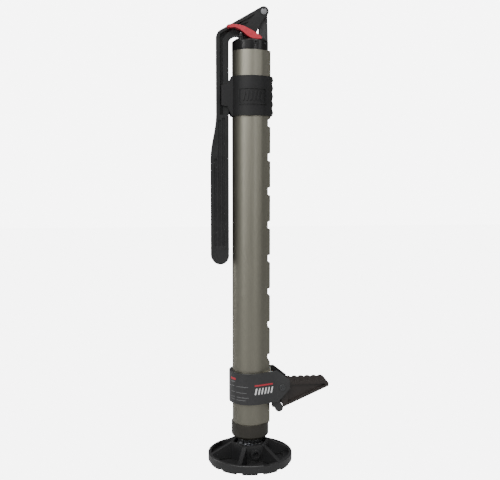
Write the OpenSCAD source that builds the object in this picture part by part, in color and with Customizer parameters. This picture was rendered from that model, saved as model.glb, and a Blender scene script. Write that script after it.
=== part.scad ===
// Hydraulic tube jack: a long notched cylinder standing on a swivel foot, with a
// sliding lifting hook, a folding pump handle and a release lever.
// Frame: origin at the centre of the foot's underside, +Z up the cylinder,
// +X towards the notched rail and the hook, handle folded on the -X side. Millimetres.

/* [Foot] */
// Diameter of the foot
foot_d = 169; // [160:1:180]
// Height of the foot's rim above the ground
rim_h = 19; // [15:1:22]
// Height of the six-sided hub above the ground
hub_h = 41; // [39:0.5:42]
// Turn of the spokes about the vertical
foot_turn = 8; // [0:1:59]
// Radius of the ball the cylinder stands on
ball_r = 16; // [14:0.5:17]

/* [Cylinder] */
// Radius of the round side of the outer tube
tube_r = 35.1; // [34.5:0.1:35.4]
// Distance from the axis to the face of the notched rail
rail_x = 38.1; // [37.8:0.1:38.6]
// Width of the rail's face
rail_w = 30; // [26:1:31]
// Height of the tube's lower end
tube_z0 = 82; // [80:1:84]
// Height of the tube's upper end
tube_z1 = 812; // [811:1:814]
// Distance between notches
notch_pitch = 66; // [64:0.5:68]
// Number of notches
notch_count = 10; // [8:1:10]
// Radius of the ram
ram_r = 20; // [18:0.5:21]
// Wall of the ram
ram_t = 4.5; // [4:0.5:6]

/* [Hook] */
// Height of the hook carrier
carrier_h = 62; // [58:1:64]
// Height of the tongue's lifting face
tongue_z = 163.5; // [163:0.5:165]
// Reach of the tongue's tip from the axis
tongue_x = 157; // [150:1:165]
// Width of the tongue
tongue_w = 39; // [36:1:39.5]

/* [Pump] */
// Width of the pump handle
handle_w = 24; // [22:1:25]
// Height of the handle's lower end when folded
handle_z0 = 400; // [396:1:420]
// Slot clearance round the plunger pin
pin_clearance = 0.3; // [0.2:0.05:0.4]

/* [Hidden] */
$fn = 96;
eps = 0.01;

BLACK = [0.10, 0.10, 0.11];
STEEL = [0.62, 0.63, 0.65];
RUBBER = [0.07, 0.07, 0.075];
CHAMPAGNE = [0.60, 0.58, 0.51];
NYLON = [0.85, 0.84, 0.80];

foot_r = foot_d / 2;
ball_z = 23;             // centre of the ball joint
tread_h = 3;             // tread blocks under the foot
floor_z = tread_h + 4;     // top of the foot's floor
rim_t = 6;
spoke_t = 8;
hub_r = 41;              // across the hub's corners
boss_r = 26.5;           // outside of the socket
socket_r = 22.3;
boss_h = 36;

bore_r = 30.5;           // inside of the outer tube
cyl_r0 = 25.5;           // inside of the pressure cylinder
cyl_r1 = 28;             // outside of it
gland_z0 = 50;
gland_z1 = 112;
gland_r = 37.2;
head_z0 = 755;           // lower end of the pump head's spigot
head_z1 = 836;           // top of the pump head
head_r = 35.2;
notch_z0 = 147;          // centre of the lowest notch
notch_h = 13;
notch_d = 5.1;

plunger_pt = [0, 845];      // X and Z of the plunger's pin
fulcrum_pt = [25, 886.8];   // X and Z of the handle's fulcrum pin
link_pt = [27, 827];        // X and Z of the link's lower pin
release_pt = [2, 838];      // X and Z of the release lever's pivot
hook_pt = [61.5, 153.5];    // X and Z of the hook's main pin
pawl_pt = [56, 112];        // X and Z of the pawl's pin
ear_y = 20.6;             // inside of the hook carrier's ears
bore_cheek = 6.4;           // half width of the slots the link and plunger work in

handle_x0 = -42.5;       // side of the handle next to the tube
handle_x1 = -65.7;       // outer side of its upper stretch
grip_x1 = -77;           // outer side of the grip
release_valve_pt = [-20, -22];

// Draws a child outline, given in X and Z, and extrudes it from y0 to y1.
module side_plate(y0, y1) {
  translate([0, y1, 0]) rotate([90, 0, 0]) linear_extrude(y1 - y0) children();
}

// A round bar along Y through a point given in X and Z.
module cross_bar(pt, r, y0, y1) {
  translate([pt[0], y1, pt[1]]) rotate([90, 0, 0]) cylinder(h = y1 - y0, r = r);
}

module ring(r0, r1, z0, z1) {
  translate([0, 0, z0]) difference() {
    cylinder(h = z1 - z0, r = r1);
    translate([0, 0, -1]) cylinder(h = z1 - z0 + 2, r = r0);
  }
}

// Outer tube's outline from z0 to z1, grown outwards by g: round, with flat sides that run in
// to the rail.
module tube_form(g, z0, z1) {
  corner = [rail_x + g, rail_w / 2 + 0.55 * g];
  a = atan2(corner[1], corner[0]) + acos((tube_r + g) / norm(corner));
  side = (tube_r + g - 0.4) * [cos(a), sin(a)];     // just inside, so that the line crosses
  translate([0, 0, z0]) union() {
    cylinder(h = z1 - z0, r = tube_r + g);
    linear_extrude(z1 - z0)
      polygon([side, corner, [corner[0], -corner[1]], [side[0], -side[1]], [0, 0]]);
  }
}

// ---------------------------------------------------------------- foot

module spoke() {
  side_plate(-spoke_t / 2, spoke_t / 2)
    polygon([[hub_r - 4, floor_z + 1], [foot_r - 2, floor_z + 1], [foot_r - 2, rim_h - 1],
             [hub_r - 1, hub_h - 1], [hub_r - 4, hub_h - 1]]);
}

module foot_plate() {
  screw_dir = foot_turn - 90;
  color(BLACK) difference() {
    union() {
      // floor, rim, central pad and ball socket
      rotate_extrude() polygon([
        [0, 0], [30, 0], [30, tread_h], [foot_r - 2, tread_h], [foot_r, tread_h + 2],
        [foot_r, rim_h - 1], [foot_r - 1, rim_h], [foot_r - rim_t, rim_h],
        [foot_r - rim_t, floor_z + 3], [foot_r - rim_t - 12, floor_z + 3],
        [foot_r - rim_t - 13, floor_z], [boss_r, floor_z], [boss_r, boss_h], [0, boss_h]]);
      rotate(foot_turn) {
        intersection() {
          ring(foot_r - 22, foot_r - 3, 0, tread_h + 1);
          for (k = [0:11]) rotate(30 * k + 15) translate([foot_r - 24, -15, 0]) cube([26, 30, 8]);
        }
        for (k = [0:5]) rotate(60 * k) spoke();
        difference() {
          translate([0, 0, floor_z - 1]) cylinder(h = hub_h - floor_z + 1, r = hub_r, $fn = 6);
          translate([0, 0, floor_z - 2]) cylinder(h = hub_h, r = hub_r - 6, $fn = 6);
        }
      }
      rotate(screw_dir) translate([24, 0, 25]) rotate([0, 90, 0]) cylinder(h = 19, r = 9.5);
    }
    translate([0, 0, 5]) cylinder(h = 60, r = socket_r);
    ring(socket_r - 1, socket_r + 1.4, 33.4, 35.1);
    rotate(screw_dir) translate([15, 0, 25]) rotate([0, 90, 0]) cylinder(h = 40, r = 4.05);
    rotate(screw_dir) translate([38, 0, 25]) rotate([0, 90, 0]) cylinder(h = 10, r = 6.5);
    for (a = [0, 180]) rotate(screw_dir + 8 + a) translate([foot_r - 12, -7, rim_h - 1.6])
      cube([20, 14, 10]);
  }
}

module foot_set_screw() {
  color(STEEL) rotate(foot_turn - 90) difference() {
    translate([22.6, 0, 25]) rotate([0, 90, 0]) cylinder(h = 15.6, r = 4);
    translate([34, 0, 25]) rotate([0, 90, 0]) cylinder(h = 6, r = 2.3, $fn = 6);
  }
}

module socket_circlip() {
  color(STEEL) difference() {
    ring(15, socket_r + 1.3, 33.5, 35);
    translate([10, -4, 30]) cube([20, 8, 8]);
  }
}

module socket_cup() {
  color(NYLON) difference() {
    translate([0, 0, 5.1]) cylinder(h = ball_z - 1 - 5.1, r = socket_r - 0.1);
    translate([0, 0, ball_z]) sphere(r = ball_r + 0.15);
  }
}

module socket_ring() {
  color(NYLON) difference() {
    intersection() {
      translate([0, 0, ball_z]) sphere(r = ball_r + 3.5);
      translate([0, 0, ball_z + 2.5]) cylinder(h = 4.2, r = 30);
    }
    translate([0, 0, ball_z]) sphere(r = ball_r + 0.15);
  }
}

// ---------------------------------------------------------------- ram

module ball_stud() {
  color(STEEL) union() {
    translate([0, 0, ball_z]) sphere(r = ball_r);
    translate([0, 0, ball_z]) cylinder(h = 20, r = 9);
    translate([0, 0, 42]) cylinder(h = 7.5, r1 = 23.5, r2 = 29.5);
    translate([0, 0, 49]) cylinder(h = 13, r = ram_r - ram_t - 0.1);
  }
}

module ram_rod() {
  color([0.80, 0.81, 0.83]) ring(ram_r - ram_t, ram_r, 49.5, 728);
}

module piston() {
  color(STEEL) difference() {
    union() {
      ring(8.1, cyl_r0 - 0.06, 728, 748);
      ring(8.1, ram_r - ram_t - 0.1, 715, 728 + eps);
    }
    ring(cyl_r0 - 4, cyl_r0 + 2, 734, 742);
  }
}

module piston_seal() {
  color(RUBBER) ring(cyl_r0 - 3.9, cyl_r0 - 0.03, 734.1, 741.9);
}

module piston_nut() {
  color(STEEL) union() {
    translate([0, 0, 712]) cylinder(h = 36.1, r = 8);
    translate([0, 0, 748.1]) cylinder(h = 5, r = 14, $fn = 6);
  }
}

// ---------------------------------------------------------------- cylinder

module outer_tube() {
  color(CHAMPAGNE) difference() {
    tube_form(0, tube_z0, tube_z1);
    translate([0, 0, tube_z0 - 1]) cylinder(h = tube_z1 - tube_z0 + 2, r = bore_r);
    for (k = [0:notch_count - 1])
      translate([0, 0, notch_z0 + notch_pitch * k]) side_plate(-40, 40)
        polygon([[rail_x - notch_d, -notch_h / 2], [rail_x + 1, -notch_h / 2 - 2],
                 [rail_x + 1, notch_h / 2 + 2], [rail_x - notch_d, notch_h / 2]]);
  }
}

module pressure_cylinder() {
  color(STEEL) ring(cyl_r0, cyl_r1, 101, 764);
}

module gland_nut() {
  color([0.20, 0.20, 0.20]) difference() {
    rotate_extrude() polygon([
      [ram_r + 0.06, gland_z0], [31, gland_z0], [gland_r - 0.6, gland_z0 + 6.2],
      [gland_r, gland_z0 + 7.5], [gland_r, tube_z0], [bore_r - 0.05, tube_z0],
      [bore_r - 0.05, gland_z1], [cyl_r1 + 0.05, gland_z1], [cyl_r1 + 0.05, 101],
      [ram_r + 0.06, 101]]);
    ring(ram_r - 1, ram_r + 4, 53, 57);
    ring(ram_r - 1, ram_r + 4.5, 88, 95);
  }
}

module rod_wiper() {
  color(RUBBER) ring(ram_r + 0.02, ram_r + 3.9, 53.1, 56.9);
}

module rod_seal() {
  color(RUBBER) ring(ram_r + 0.02, ram_r + 4.4, 88.1, 94.9);
}

module pump_head() {
  color(BLACK) difference() {
    union() {
      rotate_extrude() polygon([
        [0, head_z0], [cyl_r0 - 0.5, head_z0], [cyl_r0 - 0.5, 764], [bore_r - 0.05, 764],
        [bore_r - 0.05, tube_z1], [head_r, tube_z1], [head_r, 829.5], [29, 834.5],
        [22, head_z1], [0, head_z1]]);
      translate([release_valve_pt[0], release_valve_pt[1], 825]) cylinder(h = 11, r = 5.5);
      side_plate(-17, -12.6) union() {
        translate(release_pt) circle(r = 7);
        polygon([[release_pt[0] - 10, 832], [release_pt[0] - 6.6, release_pt[1] + 2.4],
                 [release_pt[0] + 6.6, release_pt[1] + 2.4], [release_pt[0] + 10, 832]]);
      }
    }
    translate([0, 0, 769]) cylinder(h = 90, r = 8.05);
    translate([0, 0, head_z0 - 1]) cylinder(h = 20, r = 2.2);
    translate([0, 0, 760]) cylinder(h = 10, r = 4.3);
    translate([15.8, -bore_cheek, link_pt[1] - 8.5]) cube([30, 2 * bore_cheek, 40]);
    translate([0, 0, 832]) cylinder(h = 20, r = 12.6);
    translate([-12.5, -40, 831.2]) cube([36.5, 40 - 17.2, 20]);
    cross_bar(link_pt, 4.02, -30, 13);
    cross_bar(release_pt, 3.02, -40, -12);
    translate([release_valve_pt[0], release_valve_pt[1], 812]) cylinder(h = 40, r = 3.06);
    ring(bore_r - 2.5, bore_r + 1, 790, 794);
    translate([6.4, -30, 825]) rotate([90, 0, 0]) cylinder(h = 10, r = 4.02);
  }
}

module head_seal() {
  color(RUBBER) ring(bore_r - 2.45, bore_r - 0.02, 790.1, 793.9);
}

module filler_plug() {
  color(RUBBER) difference() {
    translate([6.4, -30.05, 825]) rotate([90, 0, 0]) cylinder(h = 5.6, r = 4);
    translate([6.4, -33.5, 825]) rotate([90, 0, 0]) cylinder(h = 5, r = 2, $fn = 6);
  }
}

module check_valve() {
  color(STEEL) union() {
    translate([0, 0, 765.2]) sphere(r = 3.2);
    for (z = [760.95, 762.05])
      translate([0, 0, z]) rotate_extrude() translate([3.2, 0]) circle(r = 0.5, $fn = 24);
    translate([0, 0, 760.02]) ring(2.3, 3.9, 0, 0.4);
  }
}

module link_pin() {
  color(STEEL) cross_bar(link_pt, 4, -12.9, 12.9);
}

module release_pivot_pin() {
  color(STEEL) cross_bar(release_pt, 3, -28.4, -12.9);
}

module release_spring() {
  color(STEEL) for (k = [0:2])
    translate([release_valve_pt[0], release_valve_pt[1], 836.9 + 0.95 * k])
      rotate_extrude() translate([4.3, 0]) circle(r = 0.45, $fn = 24);
}

// Rubber band round the tube, with two jaws that hold the folded handle and a ridged pull.
module handle_strap() {
  z0 = 688;
  z1 = 763;
  jaw_y = handle_w / 2 + 0.4;
  color(RUBBER) difference() {
    union() {
      tube_form(3.4, z0, z1);
      for (s = [-1, 1]) scale([1, s, 1]) side_plate(jaw_y, jaw_y + 3.8)
        polygon([[-30, z0], [-37, z0], [-46, z0 + 18], [-57, z0 + 20], [-57, z1 - 17],
                 [-46, z1 - 14], [-37, z1], [-30, z1]]);
      // ridged pull over the rail
      for (k = [0:4]) translate([0, 0, z0 + 6.5 + 15.5 * k]) side_plate(-15.5, 15.5)
        polygon([[rail_x + 2, -7.2], [rail_x + 4.7, -3.4], [rail_x + 5.3, 0],
                 [rail_x + 4.7, 3.4], [rail_x + 2, 7.2]]);
      // raised frame with slanted bars inside it
      intersection() {
        tube_form(4.7, z0, z1);
        side_plate(-60, -4) union() {
          difference() {
            translate([-26, z0 + 21]) square([54, 31]);
            translate([-23.8, z0 + 23.2]) square([49.6, 26.6]);
          }
          for (k = [0:5]) translate([-19 + 6.8 * k, z0 + 28])
            polygon([[0, 0], [3.4, 0], [6, 17], [2.6, 17]]);
        }
      }
    }
    tube_form(0.02, z0 - 1, z1 + 1);
    translate([-100, -jaw_y, z0 - 1]) cube([60.5, 2 * jaw_y, z1 - z0 + 2]);
  }
}

// ---------------------------------------------------------------- hook

// Section of the carrier: round at the back, with flat sides that run forward into two ears.
module carrier_section(r, corner, ear_x) {
  a = atan2(corner[1], corner[0]) + acos(r / norm(corner));
  side = (r - 0.4) * [cos(a), sin(a)];
  circle(r = r);
  polygon([[0, 0], side, corner, [ear_x, corner[1]], [ear_x, -corner[1]],
           [corner[0], -corner[1]], [side[0], -side[1]]]);
}

module hook_carrier() {
  z0 = 125;
  z1 = z0 + carrier_h;
  color(BLACK) difference() {
    union() {
      difference() {
        translate([0, 0, z0 - 2]) linear_extrude(carrier_h + 4) difference() {
          carrier_section(42, [51, ear_y + 5], 77);
          carrier_section(tube_r + 0.9, [52, ear_y], 90);
        }
        translate([-60, -60, z1]) cube([104, 120, 20]);
        translate([-60, -60, z0 - 12]) cube([104, 120, 12]);
        side_plate(-60, 60) polygon([[44, z1], [51, z1 + 1], [77, 167.5], [90, 166], [90, 220],
                                     [44, 220]]);
        side_plate(-60, 60) polygon([[44, z0], [53, z0 - 0.8], [77, 151], [90, 156], [90, 90],
                                     [44, 90]]);
      }
      // lugs under the ears that carry the pawl's pin
      for (s = [-1, 1]) scale([1, s, 1]) {
        side_plate(8, ear_y + 1) union() {
          polygon([[42.4, pawl_pt[1] + 1.5], [50, pawl_pt[1] + 1.5], [60, 117], [59, 126],
                   [51, 130], [42.4, 127]]);
          translate(pawl_pt) circle(r = 8.2);
        }
      }
    }
    cross_bar(hook_pt, 5.05, -40, 40);
    cross_bar(pawl_pt, 4.02, -20, 40);
  }
}

module wear_pads() {
  color(NYLON) for (s = [-1, 1]) scale([1, s, 1])
    translate([0, 0, 131]) linear_extrude(54)
      polygon([[24, 26.6], [38.6, 15.6], [44, 15.6], [44, 22.8], [24, 29.5]]);
}

module hook_pin() {
  color([0.16, 0.16, 0.17]) union() {
    cross_bar(hook_pt, 5, -26.6, 28.6);
    difference() {
      cross_bar(hook_pt, 6.4, -27.4, -25.6);
      cross_bar(hook_pt, 2.4, -30, -26.4);
    }
  }
}

module hook_pin_clip() {
  color(STEEL) difference() {
    cross_bar(hook_pt, 8, 25.7, 26.9);
    cross_bar(hook_pt, 5.02, 20, 30);
    translate([hook_pt[0] - 3, 20, hook_pt[1]]) cube([6, 10, 20]);
  }
}

module pawl_pin() {
  color([0.16, 0.16, 0.17]) cross_bar(pawl_pt, 4, -19.8, 21.5);
}

module pawl_spring() {
  color(STEEL) for (k = [0:2])
    translate([pawl_pt[0], 5.6 + 0.85 * k, pawl_pt[1]]) rotate([90, 0, 0])
      rotate_extrude() translate([5.2, 0]) circle(r = 0.4, $fn = 24);
}

module lift_tongue() {
  half = tongue_w / 2;
  // rounded ridges with narrow flat crests
  ridges = [for (k = [0:5], a = [135, 125, 115, 103, 77, 65, 55, 45])
    [80 + 13.4 * k + 8 * cos(a), tongue_z + 8 * (sin(a) - sin(45))]];
  color([0.13, 0.12, 0.12]) difference() {
    side_plate(-half, half) polygon(concat(
      [[51, 144], [51, tongue_z - 2], [56, tongue_z]],
      ridges,
      [[tongue_x - 4, tongue_z], [tongue_x, tongue_z - 4.5], [tongue_x, tongue_z - 11],
       [65.1, 112.4], [63.5, 116.6], [61, 120.8], [60.3, 129], [60.9, 137]]));
    for (s = [-1, 1]) scale([1, s, 1]) side_plate(half - 5, half + 2)
      polygon([[74, 121.5], [150, 154.9], [150, 156], [146, tongue_z - 6], [74, tongue_z - 6]]);
    side_plate(-8.6, 8.6) polygon([[40, 100], [66.6, 100], [66.6, 138], [57, 144], [40, 146.5]]);
    cross_bar(hook_pt, 5.05, -40, 40);
  }
}

module lock_pawl() {
  color([0.30, 0.30, 0.31]) difference() {
    side_plate(-5, 5) union() {
      translate(pawl_pt) circle(r = 8);
      polygon([[pawl_pt[0] - 7.9, pawl_pt[1] + 1], [pawl_pt[0] + 7, pawl_pt[1] + 3.8],
               [55, 132], [50, 143.5], [46.5, 152.5], [39.4, 152.5], [39.4, 146], [44, 142.5],
               [45, 124]]);
    }
    cross_bar(pawl_pt, 4.05, -30, 30);
  }
}

// ---------------------------------------------------------------- pump

// The link that the handle's fulcrum rides on.
module fulcrum_link() {
  color([0.15, 0.15, 0.15]) difference() {
    side_plate(-6, 6) union() {
      translate(fulcrum_pt) circle(r = 8);
      translate(link_pt) circle(r = 7.6);
      polygon([[link_pt[0] - 10.4, link_pt[1] + 4.5], [link_pt[0] + 7.6, link_pt[1]],
               [fulcrum_pt[0] + 7.9, fulcrum_pt[1]], [fulcrum_pt[0] - 5, fulcrum_pt[1]],
               [link_pt[0] - 10, fulcrum_pt[1] - 22]]);
    }
    for (s = [-1, 1]) scale([1, s, 1]) side_plate(4.4, 8)
      polygon([[link_pt[0] - 5.5, link_pt[1] + 12], [link_pt[0] + 3.5, link_pt[1] + 12],
               [fulcrum_pt[0] + 4, fulcrum_pt[1] - 12], [fulcrum_pt[0] - 1.5, fulcrum_pt[1] - 12]]);
    cross_bar(link_pt, 4.05, -10, 10);
    cross_bar(fulcrum_pt, 4.05, -10, 10);
  }
}

// Smooth step of the grip's outer side, as points going down.
function grip_curve() = [for (k = [0:8])
  let (u = k / 8) [handle_x1 + (grip_x1 - handle_x1) * (3 * u * u - 2 * u * u * u), 692 - 86 * u]];

// Outline of the handle in X and Z, drawn in by g on every side.
module handle_outline(g) {
  grip_r = (handle_x0 - grip_x1) / 2;
  bend_r = 16.5;                                  // inside of the bend over the head
  bend = [handle_x0 + bend_r, 824.5];
  knee_r = 12;
  knee = [handle_x1 + knee_r, 839.25];
  arm = fulcrum_pt - knee;
  slope = atan2(arm[1], arm[0]) - asin((knee_r - 10) / norm(arm));
  up = [-sin(slope), cos(slope)];                 // square to the top arm
  difference() {
    union() {
      translate(fulcrum_pt) circle(r = 10 - g);
      translate(plunger_pt) circle(r = 8 - g);
      translate(knee) circle(r = knee_r - g);
      translate([handle_x0 - grip_r, handle_z0 + grip_r]) circle(r = grip_r - g);
      polygon(concat(
        [fulcrum_pt + (10 - g) * up,
         knee + (knee_r - g) * up,
         [handle_x1 + g, knee[1]]],
        [for (p = grip_curve()) p + [g, 0]],
        [[grip_x1 + g, handle_z0 + grip_r], [handle_x0 - g, handle_z0 + grip_r],
         [handle_x0 - g, bend[1]], bend, [bend[0], bend[1] + bend_r + g],
         [plunger_pt[0] - 2, plunger_pt[1] - 7.4 + g], [plunger_pt[0] + 7 - g, plunger_pt[1]],
         [11.5 - g, 848], [16 - g, 856], [19 - g, 864], [25 - g, 873], [fulcrum_pt[0] + 9.8 - g, 883.5]]));
    }
    translate(bend) circle(r = bend_r + g);
  }
}

// Hollow between the handle's two flanges: a long pocket that follows the outer side.
module handle_pocket() {
  flange = 6;
  bar = 11;
  bend = [handle_x0 + 16.5, 824.5];
  difference() {
    handle_outline(flange);
    translate(bend) circle(r = 16.5 + bar);
    translate([bend[0] - 2, 700]) square([60, bend[1] + 16.5 + bar - 700]);
    translate([handle_x0 - bar, 600]) square([30, 225]);
    translate([-100, 300]) square([120, 390]);
    polygon([[-8, 800], [-8, 862], [10, 884], [60, 884], [60, 800]]);
    translate(fulcrum_pt) circle(r = 15);
    polygon([[-24, 861], [-23, 859.5], [12, 874.3], [12, 876]]);
  }
}

// Flutes in the grip's sides.
module grip_flutes() {
  for (p = [[-68.6, 606], [-60.8, 680], [-53, 684]]) {
    translate([p[0] - 2.6, 438]) square([5.2, p[1] - 438]);
    translate([p[0], 438]) circle(r = 2.6, $fn = 32);
  }
}

module pump_handle() {
  y1 = handle_w / 2;
  color([0.11, 0.11, 0.11]) difference() {
    side_plate(-y1, y1) handle_outline(0);
    for (s = [-1, 1]) scale([1, s, 1]) {
      side_plate(3, y1 + 2) intersection() {
        handle_pocket();
        translate([-100, 300]) square([82.5, 700]);
      }
      side_plate(8.6, y1 + 2) handle_pocket();
      side_plate(y1 - 2.5, y1 + 2) grip_flutes();
    }
    side_plate(-bore_cheek, bore_cheek) polygon([[-16, 820], [-16, 862], [4, 884],
      [10, 906], [60, 906], [60, 820]]);
    cross_bar(fulcrum_pt, 4.02, -30, 30);
    cross_bar(plunger_pt, 4.02, -30, 30);
  }
}

module fulcrum_pin() {
  color([0.12, 0.12, 0.12]) cross_bar(fulcrum_pt, 4, -handle_w / 2 - 2.6, handle_w / 2 + 2.6);
}

module fulcrum_clips() {
  color([0.75, 0.76, 0.78]) for (s = [-1, 1]) scale([1, s, 1]) difference() {
    cross_bar(fulcrum_pt, 5.9, handle_w / 2 + 0.2, handle_w / 2 + 1.6);
    cross_bar(fulcrum_pt, 4.02, 10, 20);
    translate([fulcrum_pt[0] - 1.7, 10, fulcrum_pt[1]]) cube([3.4, 10, 10]);
  }
}

module plunger_pin() {
  color(STEEL) cross_bar(plunger_pt, 4, -handle_w / 2, handle_w / 2);
}

// Plunger, with a flat eye whose slot lets its pin float as the link swings.
module pump_plunger() {
  slot_r = 4 + pin_clearance;
  end_pt = plunger_pt - [4.2, 1.7];
  side = slot_r * [-1.7, 4.2] / norm([4.2, 1.7]);
  color(STEEL) difference() {
    union() {
      translate([0, 0, 770]) cylinder(h = 64, r = 8);
      side_plate(-5.8, 5.8) union() {
        translate(plunger_pt) circle(r = 7.6);
        translate(plunger_pt - [4.2, 0]) circle(r = 7.6);
        polygon([[-7.5, 832.4], [6.5, 832.4], [7.3, 843], [-11.4, 843], [-10.5, 837]]);
      }
    }
    cross_bar(plunger_pt, slot_r, -10, 10);
    cross_bar(end_pt, slot_r, -10, 10);
    side_plate(-10, 10)
      polygon([plunger_pt + side, plunger_pt - side, end_pt - side, end_pt + side]);
    translate([0, 0, 776]) difference() {
      cylinder(h = 4, r = 12);
      translate([0, 0, -1]) cylinder(h = 6, r = 5.5);
    }
  }
}

module plunger_seal() {
  color(RUBBER) ring(5.52, 8.03, 776.1, 779.9);
}

// ---------------------------------------------------------------- release

// Smooth curve through a list of points, leaving out its first and last.
function smooth(p, n) = [for (i = [1:len(p) - 3]) for (k = [0:n - 1])
  let (u = k / n)
  0.5 * (2 * p[i] + (p[i + 1] - p[i - 1]) * u
         + (2 * p[i - 1] - 5 * p[i] + 4 * p[i + 1] - p[i + 2]) * u * u
         + (3 * p[i] - 3 * p[i + 1] + p[i + 2] - p[i - 1]) * u * u * u)];

module release_lever() {
  upper = [[-50, 852], [-47.6, 856], [-38.8, 858.4], [-18.6, 856.2], [-5.2, 850.6], [8.3, 843.4],
           [19.1, 835.6], [21.5, 833]];
  lower = [[23, 834], [19.1, 832.3], [2.9, 832.6], [-7.9, 837.3], [-21.3, 847.8], [-32.1, 852.2],
           [-45.5, 852], [-52, 855]];
  color([0.75, 0.10, 0.12]) difference() {
    side_plate(-29.6, -17.5) polygon(concat(smooth(upper, 8), [upper[6]], smooth(lower, 8),
                                            [lower[6]]));
    cross_bar(release_pt, 3.06, -28.6, -10);
  }
}

module release_valve() {
  color(STEEL) translate([release_valve_pt[0], release_valve_pt[1], 0]) union() {
    translate([0, 0, 816]) cylinder(h = 28, r = 3);
    translate([0, 0, 841.8]) cylinder(h = 1.1, r = 4.4);
  }
}

foot_plate();
foot_set_screw();
socket_circlip();
socket_cup();
socket_ring();
ball_stud();
ram_rod();
piston();
piston_seal();
piston_nut();
outer_tube();
pressure_cylinder();
gland_nut();
rod_wiper();
rod_seal();
pump_head();
head_seal();
filler_plug();
check_valve();
link_pin();
release_pivot_pin();
release_spring();
handle_strap();
hook_carrier();
wear_pads();
hook_pin();
hook_pin_clip();
pawl_pin();
pawl_spring();
lift_tongue();
lock_pawl();
fulcrum_link();
pump_handle();
fulcrum_pin();
fulcrum_clips();
plunger_pin();
pump_plunger();
plunger_seal();
release_lever();
release_valve();
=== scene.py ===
"""Finish, printed marks and studio for a hydraulic tube jack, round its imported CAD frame."""

import math

import bmesh
import bpy
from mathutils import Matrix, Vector


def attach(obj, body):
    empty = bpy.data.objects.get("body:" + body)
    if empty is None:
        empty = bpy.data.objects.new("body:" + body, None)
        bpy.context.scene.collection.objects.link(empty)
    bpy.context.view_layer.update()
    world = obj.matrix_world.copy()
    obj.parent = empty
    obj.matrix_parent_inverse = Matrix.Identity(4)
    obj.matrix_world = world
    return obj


bl_info = {
    "name": "Tube jack finish",
    "version": (1, 0, 0),
    "blender": (4, 5, 0),
    "location": "3D View > Sidebar > Tube jack",
    "description": "Materials, rounded edges, printed marks and a studio for a hydraulic tube jack",
    "category": "Object",
}

MM = 0.001
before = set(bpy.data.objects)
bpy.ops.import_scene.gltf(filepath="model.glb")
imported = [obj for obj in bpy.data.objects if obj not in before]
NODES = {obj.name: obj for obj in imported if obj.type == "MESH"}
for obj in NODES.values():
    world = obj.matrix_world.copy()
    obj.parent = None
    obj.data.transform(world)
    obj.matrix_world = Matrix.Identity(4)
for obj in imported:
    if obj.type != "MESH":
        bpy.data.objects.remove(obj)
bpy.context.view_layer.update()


def size_property(name, description, default, **limits):
    """A length in metres, shown in the scene's units."""
    return bpy.props.FloatProperty(
        name=name, description=description, default=default, unit="LENGTH", precision=5, **limits)


def colour_property(name, description, default):
    """A linear colour."""
    return bpy.props.FloatVectorProperty(
        name=name, description=description, default=default, subtype="COLOR", size=3,
        min=0.0, max=1.0)


class TubeJackFinish(bpy.types.PropertyGroup):
    """Colours and edge sizes of the jack's surfaces."""

    tube: colour_property("Tube", "Anodised colour of the outer tube", (0.235, 0.226, 0.185))
    black: colour_property("Black coat", "Powder coat of the castings", (0.0125, 0.0125, 0.013))
    handle: colour_property("Handle coat", "Gloss coat of the pump handle", (0.0145, 0.0148, 0.015))
    tongue: colour_property("Tongue coat", "Coat of the lifting tongue", (0.0125, 0.0085, 0.007))
    rubber: colour_property("Rubber", "Moulded rubber of the strap", (0.0062, 0.0062, 0.0066))
    red: colour_property("Red coat", "Release lever and printed marks", (0.43, 0.026, 0.042))
    steel: colour_property("Steel", "Turned and plated steel", (0.56, 0.57, 0.59))
    nylon: colour_property("Nylon", "Bearing plastic", (0.66, 0.65, 0.60))
    edge: size_property("Edge", "Radius on the edges of castings", 0.8 * MM, min=0.0, max=3 * MM)


class TubeJackStudio(bpy.types.PropertyGroup):
    """Camera and lights."""

    distance: size_property("Distance", "Camera's distance from the tube's axis", 1.45)
    height: size_property("Height", "Camera's height above the floor", 0.571)
    azimuth: bpy.props.FloatProperty(
        name="Azimuth", description="Camera's turn round the jack", default=math.radians(-7),
        subtype="ANGLE")
    pitch: bpy.props.FloatProperty(
        name="Pitch", description="Camera's look below the horizon", default=math.radians(4.9),
        subtype="ANGLE")
    lens: bpy.props.FloatProperty(
        name="Lens", description="Focal length", default=53.0, min=10.0, unit="CAMERA")
    floor: size_property("Floor", "Width of the studio floor", 14.0, min=2.0)
    paper: colour_property("Paper", "Floor under the jack", (0.42, 0.42, 0.42))
    white: bpy.props.FloatProperty(
        name="White", description="How bright floor and backdrop look to the camera", default=7.0,
        min=0.0)
    ambient: bpy.props.FloatProperty(
        name="Ambient", description="Light from all round", default=0.16, min=0.0)


def finish_of(context):
    return context.scene.tube_jack_finish


def studio_of(context):
    return context.scene.tube_jack_studio


# ---------------------------------------------------------------- shader expressions


class Signal:
    """An output socket; Python's operators on it add Math nodes."""

    def __init__(self, tree, socket):
        self.tree = tree
        self.socket = socket

    def math(self, operation, *terms):
        node = self.tree.nodes.new("ShaderNodeMath")
        node.operation = operation
        for socket, term in zip(node.inputs, terms):
            feed(self.tree, socket, term)
        return Signal(self.tree, node.outputs[0])

    def __add__(self, other):
        return self.math("ADD", self, other)

    def __mul__(self, other):
        return self.math("MULTIPLY", self, other)

    __radd__ = __add__
    __rmul__ = __mul__


def feed(tree, socket, term):
    """Links a signal to a socket, or sets the socket's own value."""
    if isinstance(term, Signal):
        tree.links.new(term.socket, socket)
    elif socket.type == "RGBA":
        socket.default_value = (*term[:3], 1.0)
    else:
        socket.default_value = term


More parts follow.
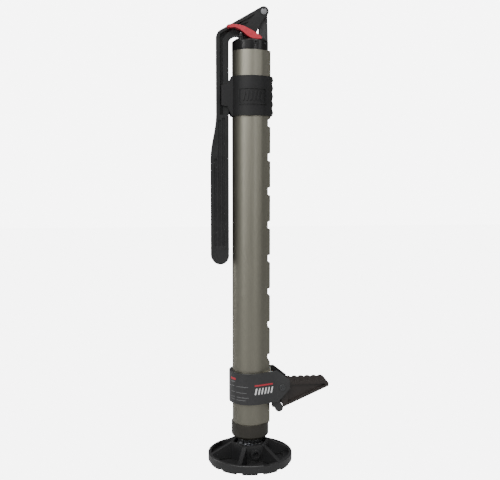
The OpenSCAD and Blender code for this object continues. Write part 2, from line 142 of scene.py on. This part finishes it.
class Finish:
    """A material under construction: one Principled shader and what feeds it."""

    def __init__(self, name, **constants):
        self.material = bpy.data.materials.new(name)
        self.material.use_nodes = True
        self.tree = self.material.node_tree
        self.shader = self.tree.nodes["Principled BSDF"]
        self.set(**constants)

    def set(self, **values):
        """Sets or links the shader's sockets; Base_Color stands for Base Color."""
        for name, value in values.items():
            feed(self.tree, self.shader.inputs[name.replace("_", " ")], value)

    def node(self, kind, output, settings=None, **inputs):
        """Adds a node, makes its settings, feeds its sockets and returns one output."""
        node = self.tree.nodes.new(kind)
        for name, value in (settings or {}).items():
            setattr(node, name, value)
        for name, value in inputs.items():
            feed(self.tree, node.inputs[name.replace("_", " ")], value)
        return Signal(self.tree, node.outputs[output])

    def place(self, scale):
        """Coordinates in metres on the piece, stretched by scale."""
        coordinates = self.node("ShaderNodeTexCoord", "Object")
        return self.node("ShaderNodeMapping", "Vector", Vector=coordinates, Scale=scale)

    def noise(self, scale, detail=3.0, roughness=0.5, stretch=(1.0, 1.0, 1.0)):
        """Noise between 0 and 1; scale is in features per metre."""
        return self.node("ShaderNodeTexNoise", "Fac", Vector=self.place(stretch), Scale=scale,
                         Detail=detail, Roughness=roughness)

    def mix(self, factor, first, second):
        """A colour between two colours, which are a Mix node's inputs 6 and 7 and output 2."""
        mixed = self.node("ShaderNodeMix", 2, {"data_type": "RGBA"}, Factor=factor)
        for socket, term in ((6, first), (7, second)):
            feed(self.tree, mixed.socket.node.inputs[socket], term)
        return mixed

    def bump(self, height, distance, strength=1.0):
        """Feeds Normal from a height between 0 and 1 that spans distance in metres."""
        self.set(Normal=self.node("ShaderNodeBump", "Normal", Height=height, Distance=distance,
                                  Strength=strength))


def shade(colour, factor):
    """The colour made lighter or darker."""
    return tuple(min(1.0, channel * factor) for channel in colour)


# ---------------------------------------------------------------- finishes


def anodised_tube(look):
    """Drawn and brushed aluminium, anodised: fine lines along the tube and a soft sheen."""
    finish = Finish("anodised_tube", Metallic=1.0, Coat_Roughness=0.25, Coat_Weight=0.15)
    lines = finish.noise(1500.0, 2.0, 0.6, (1.0, 1.0, 0.012))
    broad = finish.noise(90.0, 2.0, 0.5, (1.0, 1.0, 0.04))
    cloud = finish.noise(9.0, 2.0)
    tone = lines * 0.5 + broad * 0.35 + cloud * 0.15
    finish.set(Base_Color=finish.mix(tone, shade(look.tube, 0.86), shade(look.tube, 1.14)),
               Roughness=0.40 + lines * 0.10 + cloud * 0.05)
    finish.bump(lines, 0.02 * MM, 0.5)
    return finish.material


def powder_coat(look, name="powder_coat", colour=None, roughness=0.38, peel=0.05, ior=1.5):
    """Sprayed coat on a casting: orange peel and a dusty variation."""
    colour = colour or look.black
    finish = Finish(name, Coat_Roughness=0.2, Coat_Weight=0.12, IOR=ior)
    grain = finish.noise(1100.0, 2.0)
    patch = finish.noise(45.0, 4.0, 0.6)
    finish.set(Base_Color=finish.mix(patch, shade(colour, 0.8), shade(colour, 1.5)),
               Roughness=roughness - 0.06 + grain * 0.06 + patch * 0.08)
    finish.bump(grain * 0.7 + patch * 0.3, peel * MM)
    return finish.material


def collar_coat(look):
    """The same coat as the foot's, a little greyer from handling."""
    return powder_coat(look, "collar_coat", shade(look.black, 1.45), 0.36)


def gloss_coat(look):
    """Thick gloss black of the pump handle."""
    return powder_coat(look, "gloss_black", look.handle, 0.22, 0.012, 1.6)


def tongue_coat(look):
    """Rough casting under a thin dark coat."""
    return powder_coat(look, "cast_coat", look.tongue, 0.44, 0.16)


def head_coat(look):
    """Deep black anodising of the pump head, with a low sheen."""
    return powder_coat(look, "head_anodised", shade(look.black, 0.45), 0.30, 0.02, 1.34)


GLAND_DARK = (0.034, 0.031, 0.026)
GLAND_LIGHT = (0.052, 0.048, 0.041)


def gland_coat(look):
    """Turned steel under a dark coat: faint rings round the axis."""
    finish = Finish("gland_coat", Metallic=0.55)
    rings = finish.noise(900.0, 1.0, 0.5, (0.02, 0.02, 1.0))
    patch = finish.noise(60.0, 3.0)
    finish.set(Base_Color=finish.mix(patch, GLAND_DARK, GLAND_LIGHT),
               Roughness=0.38 + rings * 0.12)
    finish.bump(rings, 0.02 * MM)
    return finish.material


def link_coat(look):
    """Forged link, uneven dark grey."""
    finish = Finish("link_coat", Metallic=0.4)
    patch = finish.noise(120.0, 3.0)
    finish.set(Base_Color=finish.mix(patch, shade(look.black, 2.2), shade(look.black, 3.6)),
               Roughness=0.36 + patch * 0.12)
    finish.bump(patch, 0.05 * MM)
    return finish.material


def turned_steel(look, name="turned_steel", tone=1.0, roughness=0.26):
    """Machined steel with fine marks."""
    finish = Finish(name, Metallic=1.0)
    marks = finish.noise(700.0, 2.0, 0.6)
    dark, light = shade(look.steel, 0.8 * tone), shade(look.steel, 1.15 * tone)
    finish.set(Base_Color=finish.mix(marks, dark, light), Roughness=roughness + marks * 0.12)
    finish.bump(marks, 0.01 * MM)
    return finish.material


def dark_steel(look):
    """Black oxide on steel."""
    return turned_steel(look, "black_oxide", 0.16, 0.32)


def dull_steel(look):
    """Plated steel gone dull."""
    return turned_steel(look, "dull_steel", 0.42, 0.42)


def spring_steel(look):
    """Bright spring wire."""
    return turned_steel(look, "spring_steel", 1.35, 0.2)


CHROME_DARK = (0.70, 0.71, 0.73)
CHROME_LIGHT = (0.80, 0.81, 0.83)


def hard_chrome(look):
    """Polished chrome of the ram, with a faint haze."""
    finish = Finish("hard_chrome", Metallic=1.0)
    haze = finish.noise(220.0, 2.0)
    finish.set(Base_Color=finish.mix(haze, CHROME_DARK, CHROME_LIGHT),
               Roughness=0.07 + haze * 0.05)
    return finish.material


def moulded_rubber(look, name="moulded_rubber", tone=1.0):
    """Dull rubber with a fine moulded grain and a little bloom."""
    finish = Finish(name, Sheen_Weight=0.02, Sheen_Roughness=0.5, IOR=1.38)
    grain = finish.noise(1600.0, 2.0)
    bloom = finish.noise(55.0, 4.0, 0.6)
    dark, light = shade(look.rubber, 0.8 * tone), shade(look.rubber, 1.5 * tone)
    finish.set(Base_Color=finish.mix(bloom, dark, light), Roughness=0.52 + bloom * 0.14)
    finish.bump(grain, 0.05 * MM)
    return finish.material


def seal_rubber(look):
    """The same rubber, a little lighter."""
    return moulded_rubber(look, "seal_rubber", 1.2)


def bearing_nylon(look):
    """Plain nylon, slightly cloudy."""
    finish = Finish("bearing_nylon", Subsurface_Weight=0.1, Subsurface_Scale=2 * MM)
    cloud = finish.noise(120.0, 3.0)
    finish.set(Base_Color=finish.mix(cloud, shade(look.nylon, 0.9), look.nylon),
               Roughness=0.42 + cloud * 0.1)
    finish.bump(cloud, 0.04 * MM)
    return finish.material


def red_coat(look):
    """Gloss red, slightly uneven."""
    finish = Finish("red_coat", Coat_Weight=0.5, Coat_Roughness=0.12)
    cloud = finish.noise(80.0, 3.0)
    peel = finish.noise(700.0, 1.0)
    finish.set(Base_Color=finish.mix(cloud, shade(look.red, 0.86), shade(look.red, 1.12)),
               Roughness=0.3 + cloud * 0.08)
    finish.bump(peel, 0.02 * MM)
    return finish.material


def printed(name, colour):
    """Screen-printed ink, slightly uneven."""
    finish = Finish(name)
    speck = finish.noise(2200.0, 2.0)
    finish.set(Base_Color=finish.mix(speck, shade(colour, 0.88), colour),
               Roughness=0.35 + speck * 0.1)
    return finish.material


# What each CAD node is finished with: the finish, and the radius left on its edges as a
# multiple of the edge size.
DRESS = {
    "foot_plate": (powder_coat, 1.9),
    "foot_set_screw": (dark_steel, 0.3),
    "socket_circlip": (spring_steel, 0.2),
    "socket_cup": (bearing_nylon, 0.0),
    "socket_ring": (bearing_nylon, 0.0),
    "ball_stud": (turned_steel, 0.5),
    "ram_rod": (hard_chrome, 0.3),
    "piston": (turned_steel, 0.0),
    "piston_seal": (seal_rubber, 0.0),
    "piston_nut": (turned_steel, 0.0),
    "outer_tube": (anodised_tube, 0.4),
    "pressure_cylinder": (turned_steel, 0.0),
    "gland_nut": (gland_coat, 0.6),
    "rod_wiper": (seal_rubber, 0.0),
    "rod_seal": (seal_rubber, 0.0),
    "pump_head": (head_coat, 0.8),
    "head_seal": (seal_rubber, 0.0),
    "filler_plug": (seal_rubber, 0.4),
    "check_valve": (turned_steel, 0.0),
    "link_pin": (dark_steel, 0.3),
    "release_pivot_pin": (dark_steel, 0.4),
    "release_spring": (dark_steel, 0.0),
    "handle_strap": (moulded_rubber, 1.2),
    "hook_carrier": (collar_coat, 1.3),
    "wear_pads": (bearing_nylon, 0.3),
    "hook_pin": (dark_steel, 0.6),
    "hook_pin_clip": (spring_steel, 0.2),
    "pawl_pin": (dark_steel, 0.5),
    "pawl_spring": (spring_steel, 0.0),
    "lift_tongue": (tongue_coat, 1.2),
    "lock_pawl": (powder_coat, 0.8),
    "fulcrum_link": (link_coat, 0.8),
    "pump_handle": (gloss_coat, 2.2),
    "fulcrum_pin": (dull_steel, 0.5),
    "fulcrum_clips": (dull_steel, 0.2),
    "plunger_pin": (turned_steel, 0.3),
    "pump_plunger": (turned_steel, 0.4),
    "plunger_seal": (seal_rubber, 0.0),
    "release_lever": (red_coat, 1.2),
    "release_valve": (dark_steel, 0.3),
}
COATS = {}


def coat(finish, look):
    """The one material that a finish function makes, made once."""
    if finish.__name__ not in COATS:
        COATS[finish.__name__] = finish(look)
    return COATS[finish.__name__]


def dress(obj, material):
    """Gives an object one material."""
    obj.data.materials.clear()
    obj.data.materials.append(material)


WELD_GAP = 0.005 * MM
FLAT_ANGLE = math.radians(0.4)      # facets closer than this become one face
EDGE_ANGLE = math.radians(32)       # edges sharper than this are rounded


def round_edges(obj, radius):
    """Joins flat facets, rounds the edges between them and smooths the shading."""
    weld = obj.modifiers.new("weld", "WELD")
    weld.merge_threshold = WELD_GAP
    flat = obj.modifiers.new("flat", "DECIMATE")
    flat.decimate_type = "DISSOLVE"
    flat.angle_limit = FLAT_ANGLE
    if radius > 0:
        bevel = obj.modifiers.new("edges", "BEVEL")
        bevel.width = radius
        bevel.segments = 3
        bevel.limit_method = "ANGLE"
        bevel.angle_limit = EDGE_ANGLE
        bevel.miter_outer = "MITER_ARC"
        bevel.use_clamp_overlap = True
    for polygon in obj.data.polygons:
        polygon.use_smooth = True
    normals = obj.modifiers.new("normals", "WEIGHTED_NORMAL")
    normals.keep_sharp = True


class TUBEJACK_OT_dress(bpy.types.Operator):
    """Give every CAD part its finish and rounded edges"""

    bl_idname = "tube_jack.dress"
    bl_label = "Dress the parts"

    def execute(self, context):
        look = finish_of(context)
        for name, (finish, rounding) in DRESS.items():
            obj = NODES[name]
            dress(obj, coat(finish, look))
            round_edges(obj, look.edge * rounding)
        return {"FINISHED"}


# ---------------------------------------------------------------- printed marks


COLLAR_R = 42 * MM            # round side of the collar
COLLAR_CORNER = (51 * MM, 25.6 * MM)
INK = 0.12 * MM               # how far ink stands proud, and how far it sinks in


def collar_point(run, height, proud):
    """A point on the collar's near side; run is its distance along the wall from X = 0."""
    corner = Vector((COLLAR_CORNER[0], -COLLAR_CORNER[1]))
    turn = math.acos(COLLAR_R / corner.length) - math.atan2(corner.y, corner.x)
    edge = math.pi / 2 - turn                       # where the round side turns flat
    angle = min(run / COLLAR_R, edge)
    normal = Vector((math.sin(angle), -math.cos(angle)))
    along = Vector((math.cos(angle), math.sin(angle)))
    flat = normal * (COLLAR_R + proud) + along * max(0.0, run - edge * COLLAR_R)
    return (flat.x, flat.y, height)


def add_print(name, bands, material):
    """Ink on the collar: each band is a list of (run, lowest, highest), in millimetres."""
    mesh = bmesh.new()
    for band in bands:
        rings = []
        for run, low, high in band:
            corners = ((low, -INK), (low, INK), (high, INK), (high, -INK))
            rings.append([mesh.verts.new(collar_point(run * MM, z * MM, proud))
                          for z, proud in corners])
        for first, second in zip(rings, rings[1:]):
            for k in range(4):
                mesh.faces.new((first[k], first[k - 1], second[k - 1], second[k]))
        mesh.faces.new(rings[0])
        mesh.faces.new(reversed(rings[-1]))
    bmesh.ops.recalc_face_normals(mesh, faces=mesh.faces)
    data = bpy.data.meshes.new(name)
    mesh.to_mesh(data)
    mesh.free()
    obj = bpy.data.objects.new(name, data)
    bpy.context.scene.collection.objects.link(obj)
    dress(obj, material)
    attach(obj, "hook")


def bar(start, end, low, high, steps=8):
    """A straight band, cut into steps so that it bends with the wall."""
    return [(start + (end - start) * k / steps, low, high) for k in range(steps + 1)]


def leaning_bar(start, width, low, high, lean, steps=6):
    """An upright bar that leans towards +X, cut into slices along the wall."""
    slope = (high - low) / lean
    margin = 0.01                   # keeps the slices at its two ends from closing to a line
    band = []
    for k in range(steps + 1):
        run = start + (width + lean) * k / steps
        band.append((run, max(low, low + slope * (run - start - width)) - margin,
                     min(high, low + slope * (run - start)) + margin))
    return band


WHITE_INK = (0.72, 0.72, 0.72)
GREY_INK = (0.16, 0.16, 0.165)
# Left end, right end and height of the near bars on the collar's side, in millimetres.
LABEL_ROWS = ((-34, -9, 160.5), (-35, -12, 148.5), (-33, -8, 139.0), (-34, -14, 133.5))


class TUBEJACK_OT_marks(bpy.types.Operator):
    """Print the plain marks on the hook's collar"""

    bl_idname = "tube_jack.marks"
    bl_label = "Print the marks"

    def execute(self, context):
        look = finish_of(context)
        white = printed("white_ink", WHITE_INK)
        grey = printed("grey_ink", GREY_INK)
        red = printed("red_ink", tuple(look.red))
        add_print("mark_band", [bar(4, 44, 162.0, 165.2)], red)
        add_print("mark_bars", [leaning_bar(4 + 7.0 * k, 3.2, 145.5, 158.0, 2.6)
                                for k in range(6)], white)
        lines = [bar(-50, -38, 168.5, 170.0)]
        for row, (left, right, z) in enumerate(LABEL_ROWS):
            lines.append(bar(-50, -39 + row % 2, z, z + 0.9))
            lines.append(bar(left, right, z, z + 0.9))
        add_print("label_lines", lines, grey)
        add_print("label_mark", [bar(-52, -36, 173.0, 177.0)], red)
        return {"FINISHED"}


# ---------------------------------------------------------------- studio


# Name, place, width and height, and power of each soft light.
SOFTBOXES = (
    ("key", (-1.15, -2.2, 2.3), (1.9, 0.8), 86.0),
    ("fill", (2.4, -1.5, 1.5), (0.8, 1.6), 11.0),
    ("back_left", (-2.2, 1.2, 1.1), (0.6, 2.0), 16.0),
    ("strip_left", (-1.7, -1.5, 1.1), (0.12, 1.7), 12.0),
    ("strip_right", (1.15, -2.2, 1.1), (0.1, 1.7), 10.0),
    ("top", (0.1, -0.3, 2.9), (1.8, 1.8), 48.0),
)
LIT_POINT = (0.0, 0.0, 0.5)         # where every soft light is aimed
PAPER_GLOW = 0.93                   # share of the floor's look that is plain glow


def add_light(name, location, size, power):
    """A soft light aimed at the middle of the jack."""
    data = bpy.data.lights.new(name, "AREA")
    data.shape = "RECTANGLE"
    data.size, data.size_y = size
    data.energy = power
    light = bpy.data.objects.new(name, data)
    bpy.context.scene.collection.objects.link(light)
    light.location = location
    aim = Vector(LIT_POINT) - light.location
    light.rotation_euler = aim.to_track_quat("-Z", "Y").to_euler()


class TUBEJACK_OT_studio(bpy.types.Operator):
    """Add the floor, soft lights and the camera"""

    bl_idname = "tube_jack.studio"
    bl_label = "Set the studio"

    def execute(self, context):
        studio = studio_of(context)
        self.floor(studio)
        self.world(context, studio)
        for light in SOFTBOXES:
            add_light(*light)
        self.camera(context, studio)
        return {"FINISHED"}

    def floor(self, studio):
        half = studio.floor / 2
        mesh = bpy.data.meshes.new("floor")
        mesh.from_pydata([(-half, -half, 0), (half, -half, 0), (half, half, 0), (-half, half, 0)],
                         [], [(0, 1, 2, 3)])
        floor = bpy.data.objects.new("floor", mesh)
        bpy.context.scene.collection.objects.link(floor)
        dress(floor, self.paper(studio))

    def paper(self, studio):
        """Matt paper that looks nearly white to the camera and throws little light back."""
        paper = Finish("paper", Roughness=0.9, Base_Color=tuple(studio.paper))
        tree = paper.tree
        glow = paper.node("ShaderNodeEmission", "Emission", Color=(1.0, 1.0, 1.0),
                          Strength=studio.white)
        seen = paper.node("ShaderNodeLightPath", "Is Camera Ray")
        mixed = paper.node("ShaderNodeMixShader", "Shader", Fac=seen * PAPER_GLOW)
        for socket, term in ((1, Signal(tree, paper.shader.outputs[0])), (2, glow)):
            feed(tree, mixed.socket.node.inputs[socket], term)
        feed(tree, tree.nodes["Material Output"].inputs["Surface"], mixed)
        return paper.material

    def world(self, context, studio):
        """A backdrop as bright as the floor to the camera, and dim as a light."""
        world = bpy.data.worlds.new("studio")
        world.use_nodes = True
        tree = world.node_tree
        seen = Signal(tree, tree.nodes.new("ShaderNodeLightPath").outputs["Is Camera Ray"])
        sky = tree.nodes["Background"]
        feed(tree, sky.inputs["Color"], (1.0, 1.0, 1.0))
        feed(tree, sky.inputs["Strength"], seen * (studio.white - studio.ambient) + studio.ambient)
        context.scene.world = world

    def camera(self, context, studio):
        data = bpy.data.cameras.new("camera")
        data.lens = studio.lens
        camera = bpy.data.objects.new("camera", data)
        context.scene.collection.objects.link(camera)
        camera.location = (studio.distance * math.sin(studio.azimuth),
                           -studio.distance * math.cos(studio.azimuth), studio.height)
        camera.rotation_euler = (math.pi / 2 - studio.pitch, 0.0, studio.azimuth)
        context.scene.camera = camera


class TUBEJACK_PT_panel(bpy.types.Panel):
    """Steps and settings of the tube jack's finish"""

    bl_label = "Tube jack"
    bl_space_type = "VIEW_3D"
    bl_region_type = "UI"
    bl_category = "Tube jack"

    def draw(self, context):
        for step in STEPS:
            self.layout.operator(step.bl_idname)
        for group in (finish_of(context), studio_of(context)):
            box = self.layout.box()
            for name in group.__annotations__:
                box.prop(group, name)


STEPS = (TUBEJACK_OT_dress, TUBEJACK_OT_marks, TUBEJACK_OT_studio)
CLASSES = (TubeJackFinish, TubeJackStudio, *STEPS, TUBEJACK_PT_panel)


def register():
    for cls in CLASSES:
        bpy.utils.register_class(cls)
    bpy.types.Scene.tube_jack_finish = bpy.props.PointerProperty(type=TubeJackFinish)
    bpy.types.Scene.tube_jack_studio = bpy.props.PointerProperty(type=TubeJackStudio)


def unregister():
    del bpy.types.Scene.tube_jack_studio
    del bpy.types.Scene.tube_jack_finish
    for cls in reversed(CLASSES):
        bpy.utils.unregister_class(cls)


def main():
    """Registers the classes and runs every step."""
    register()
    for step in STEPS:
        group, name = step.bl_idname.split(".")
        getattr(getattr(bpy.ops, group), name)()


if __name__ == "__main__":
    main()
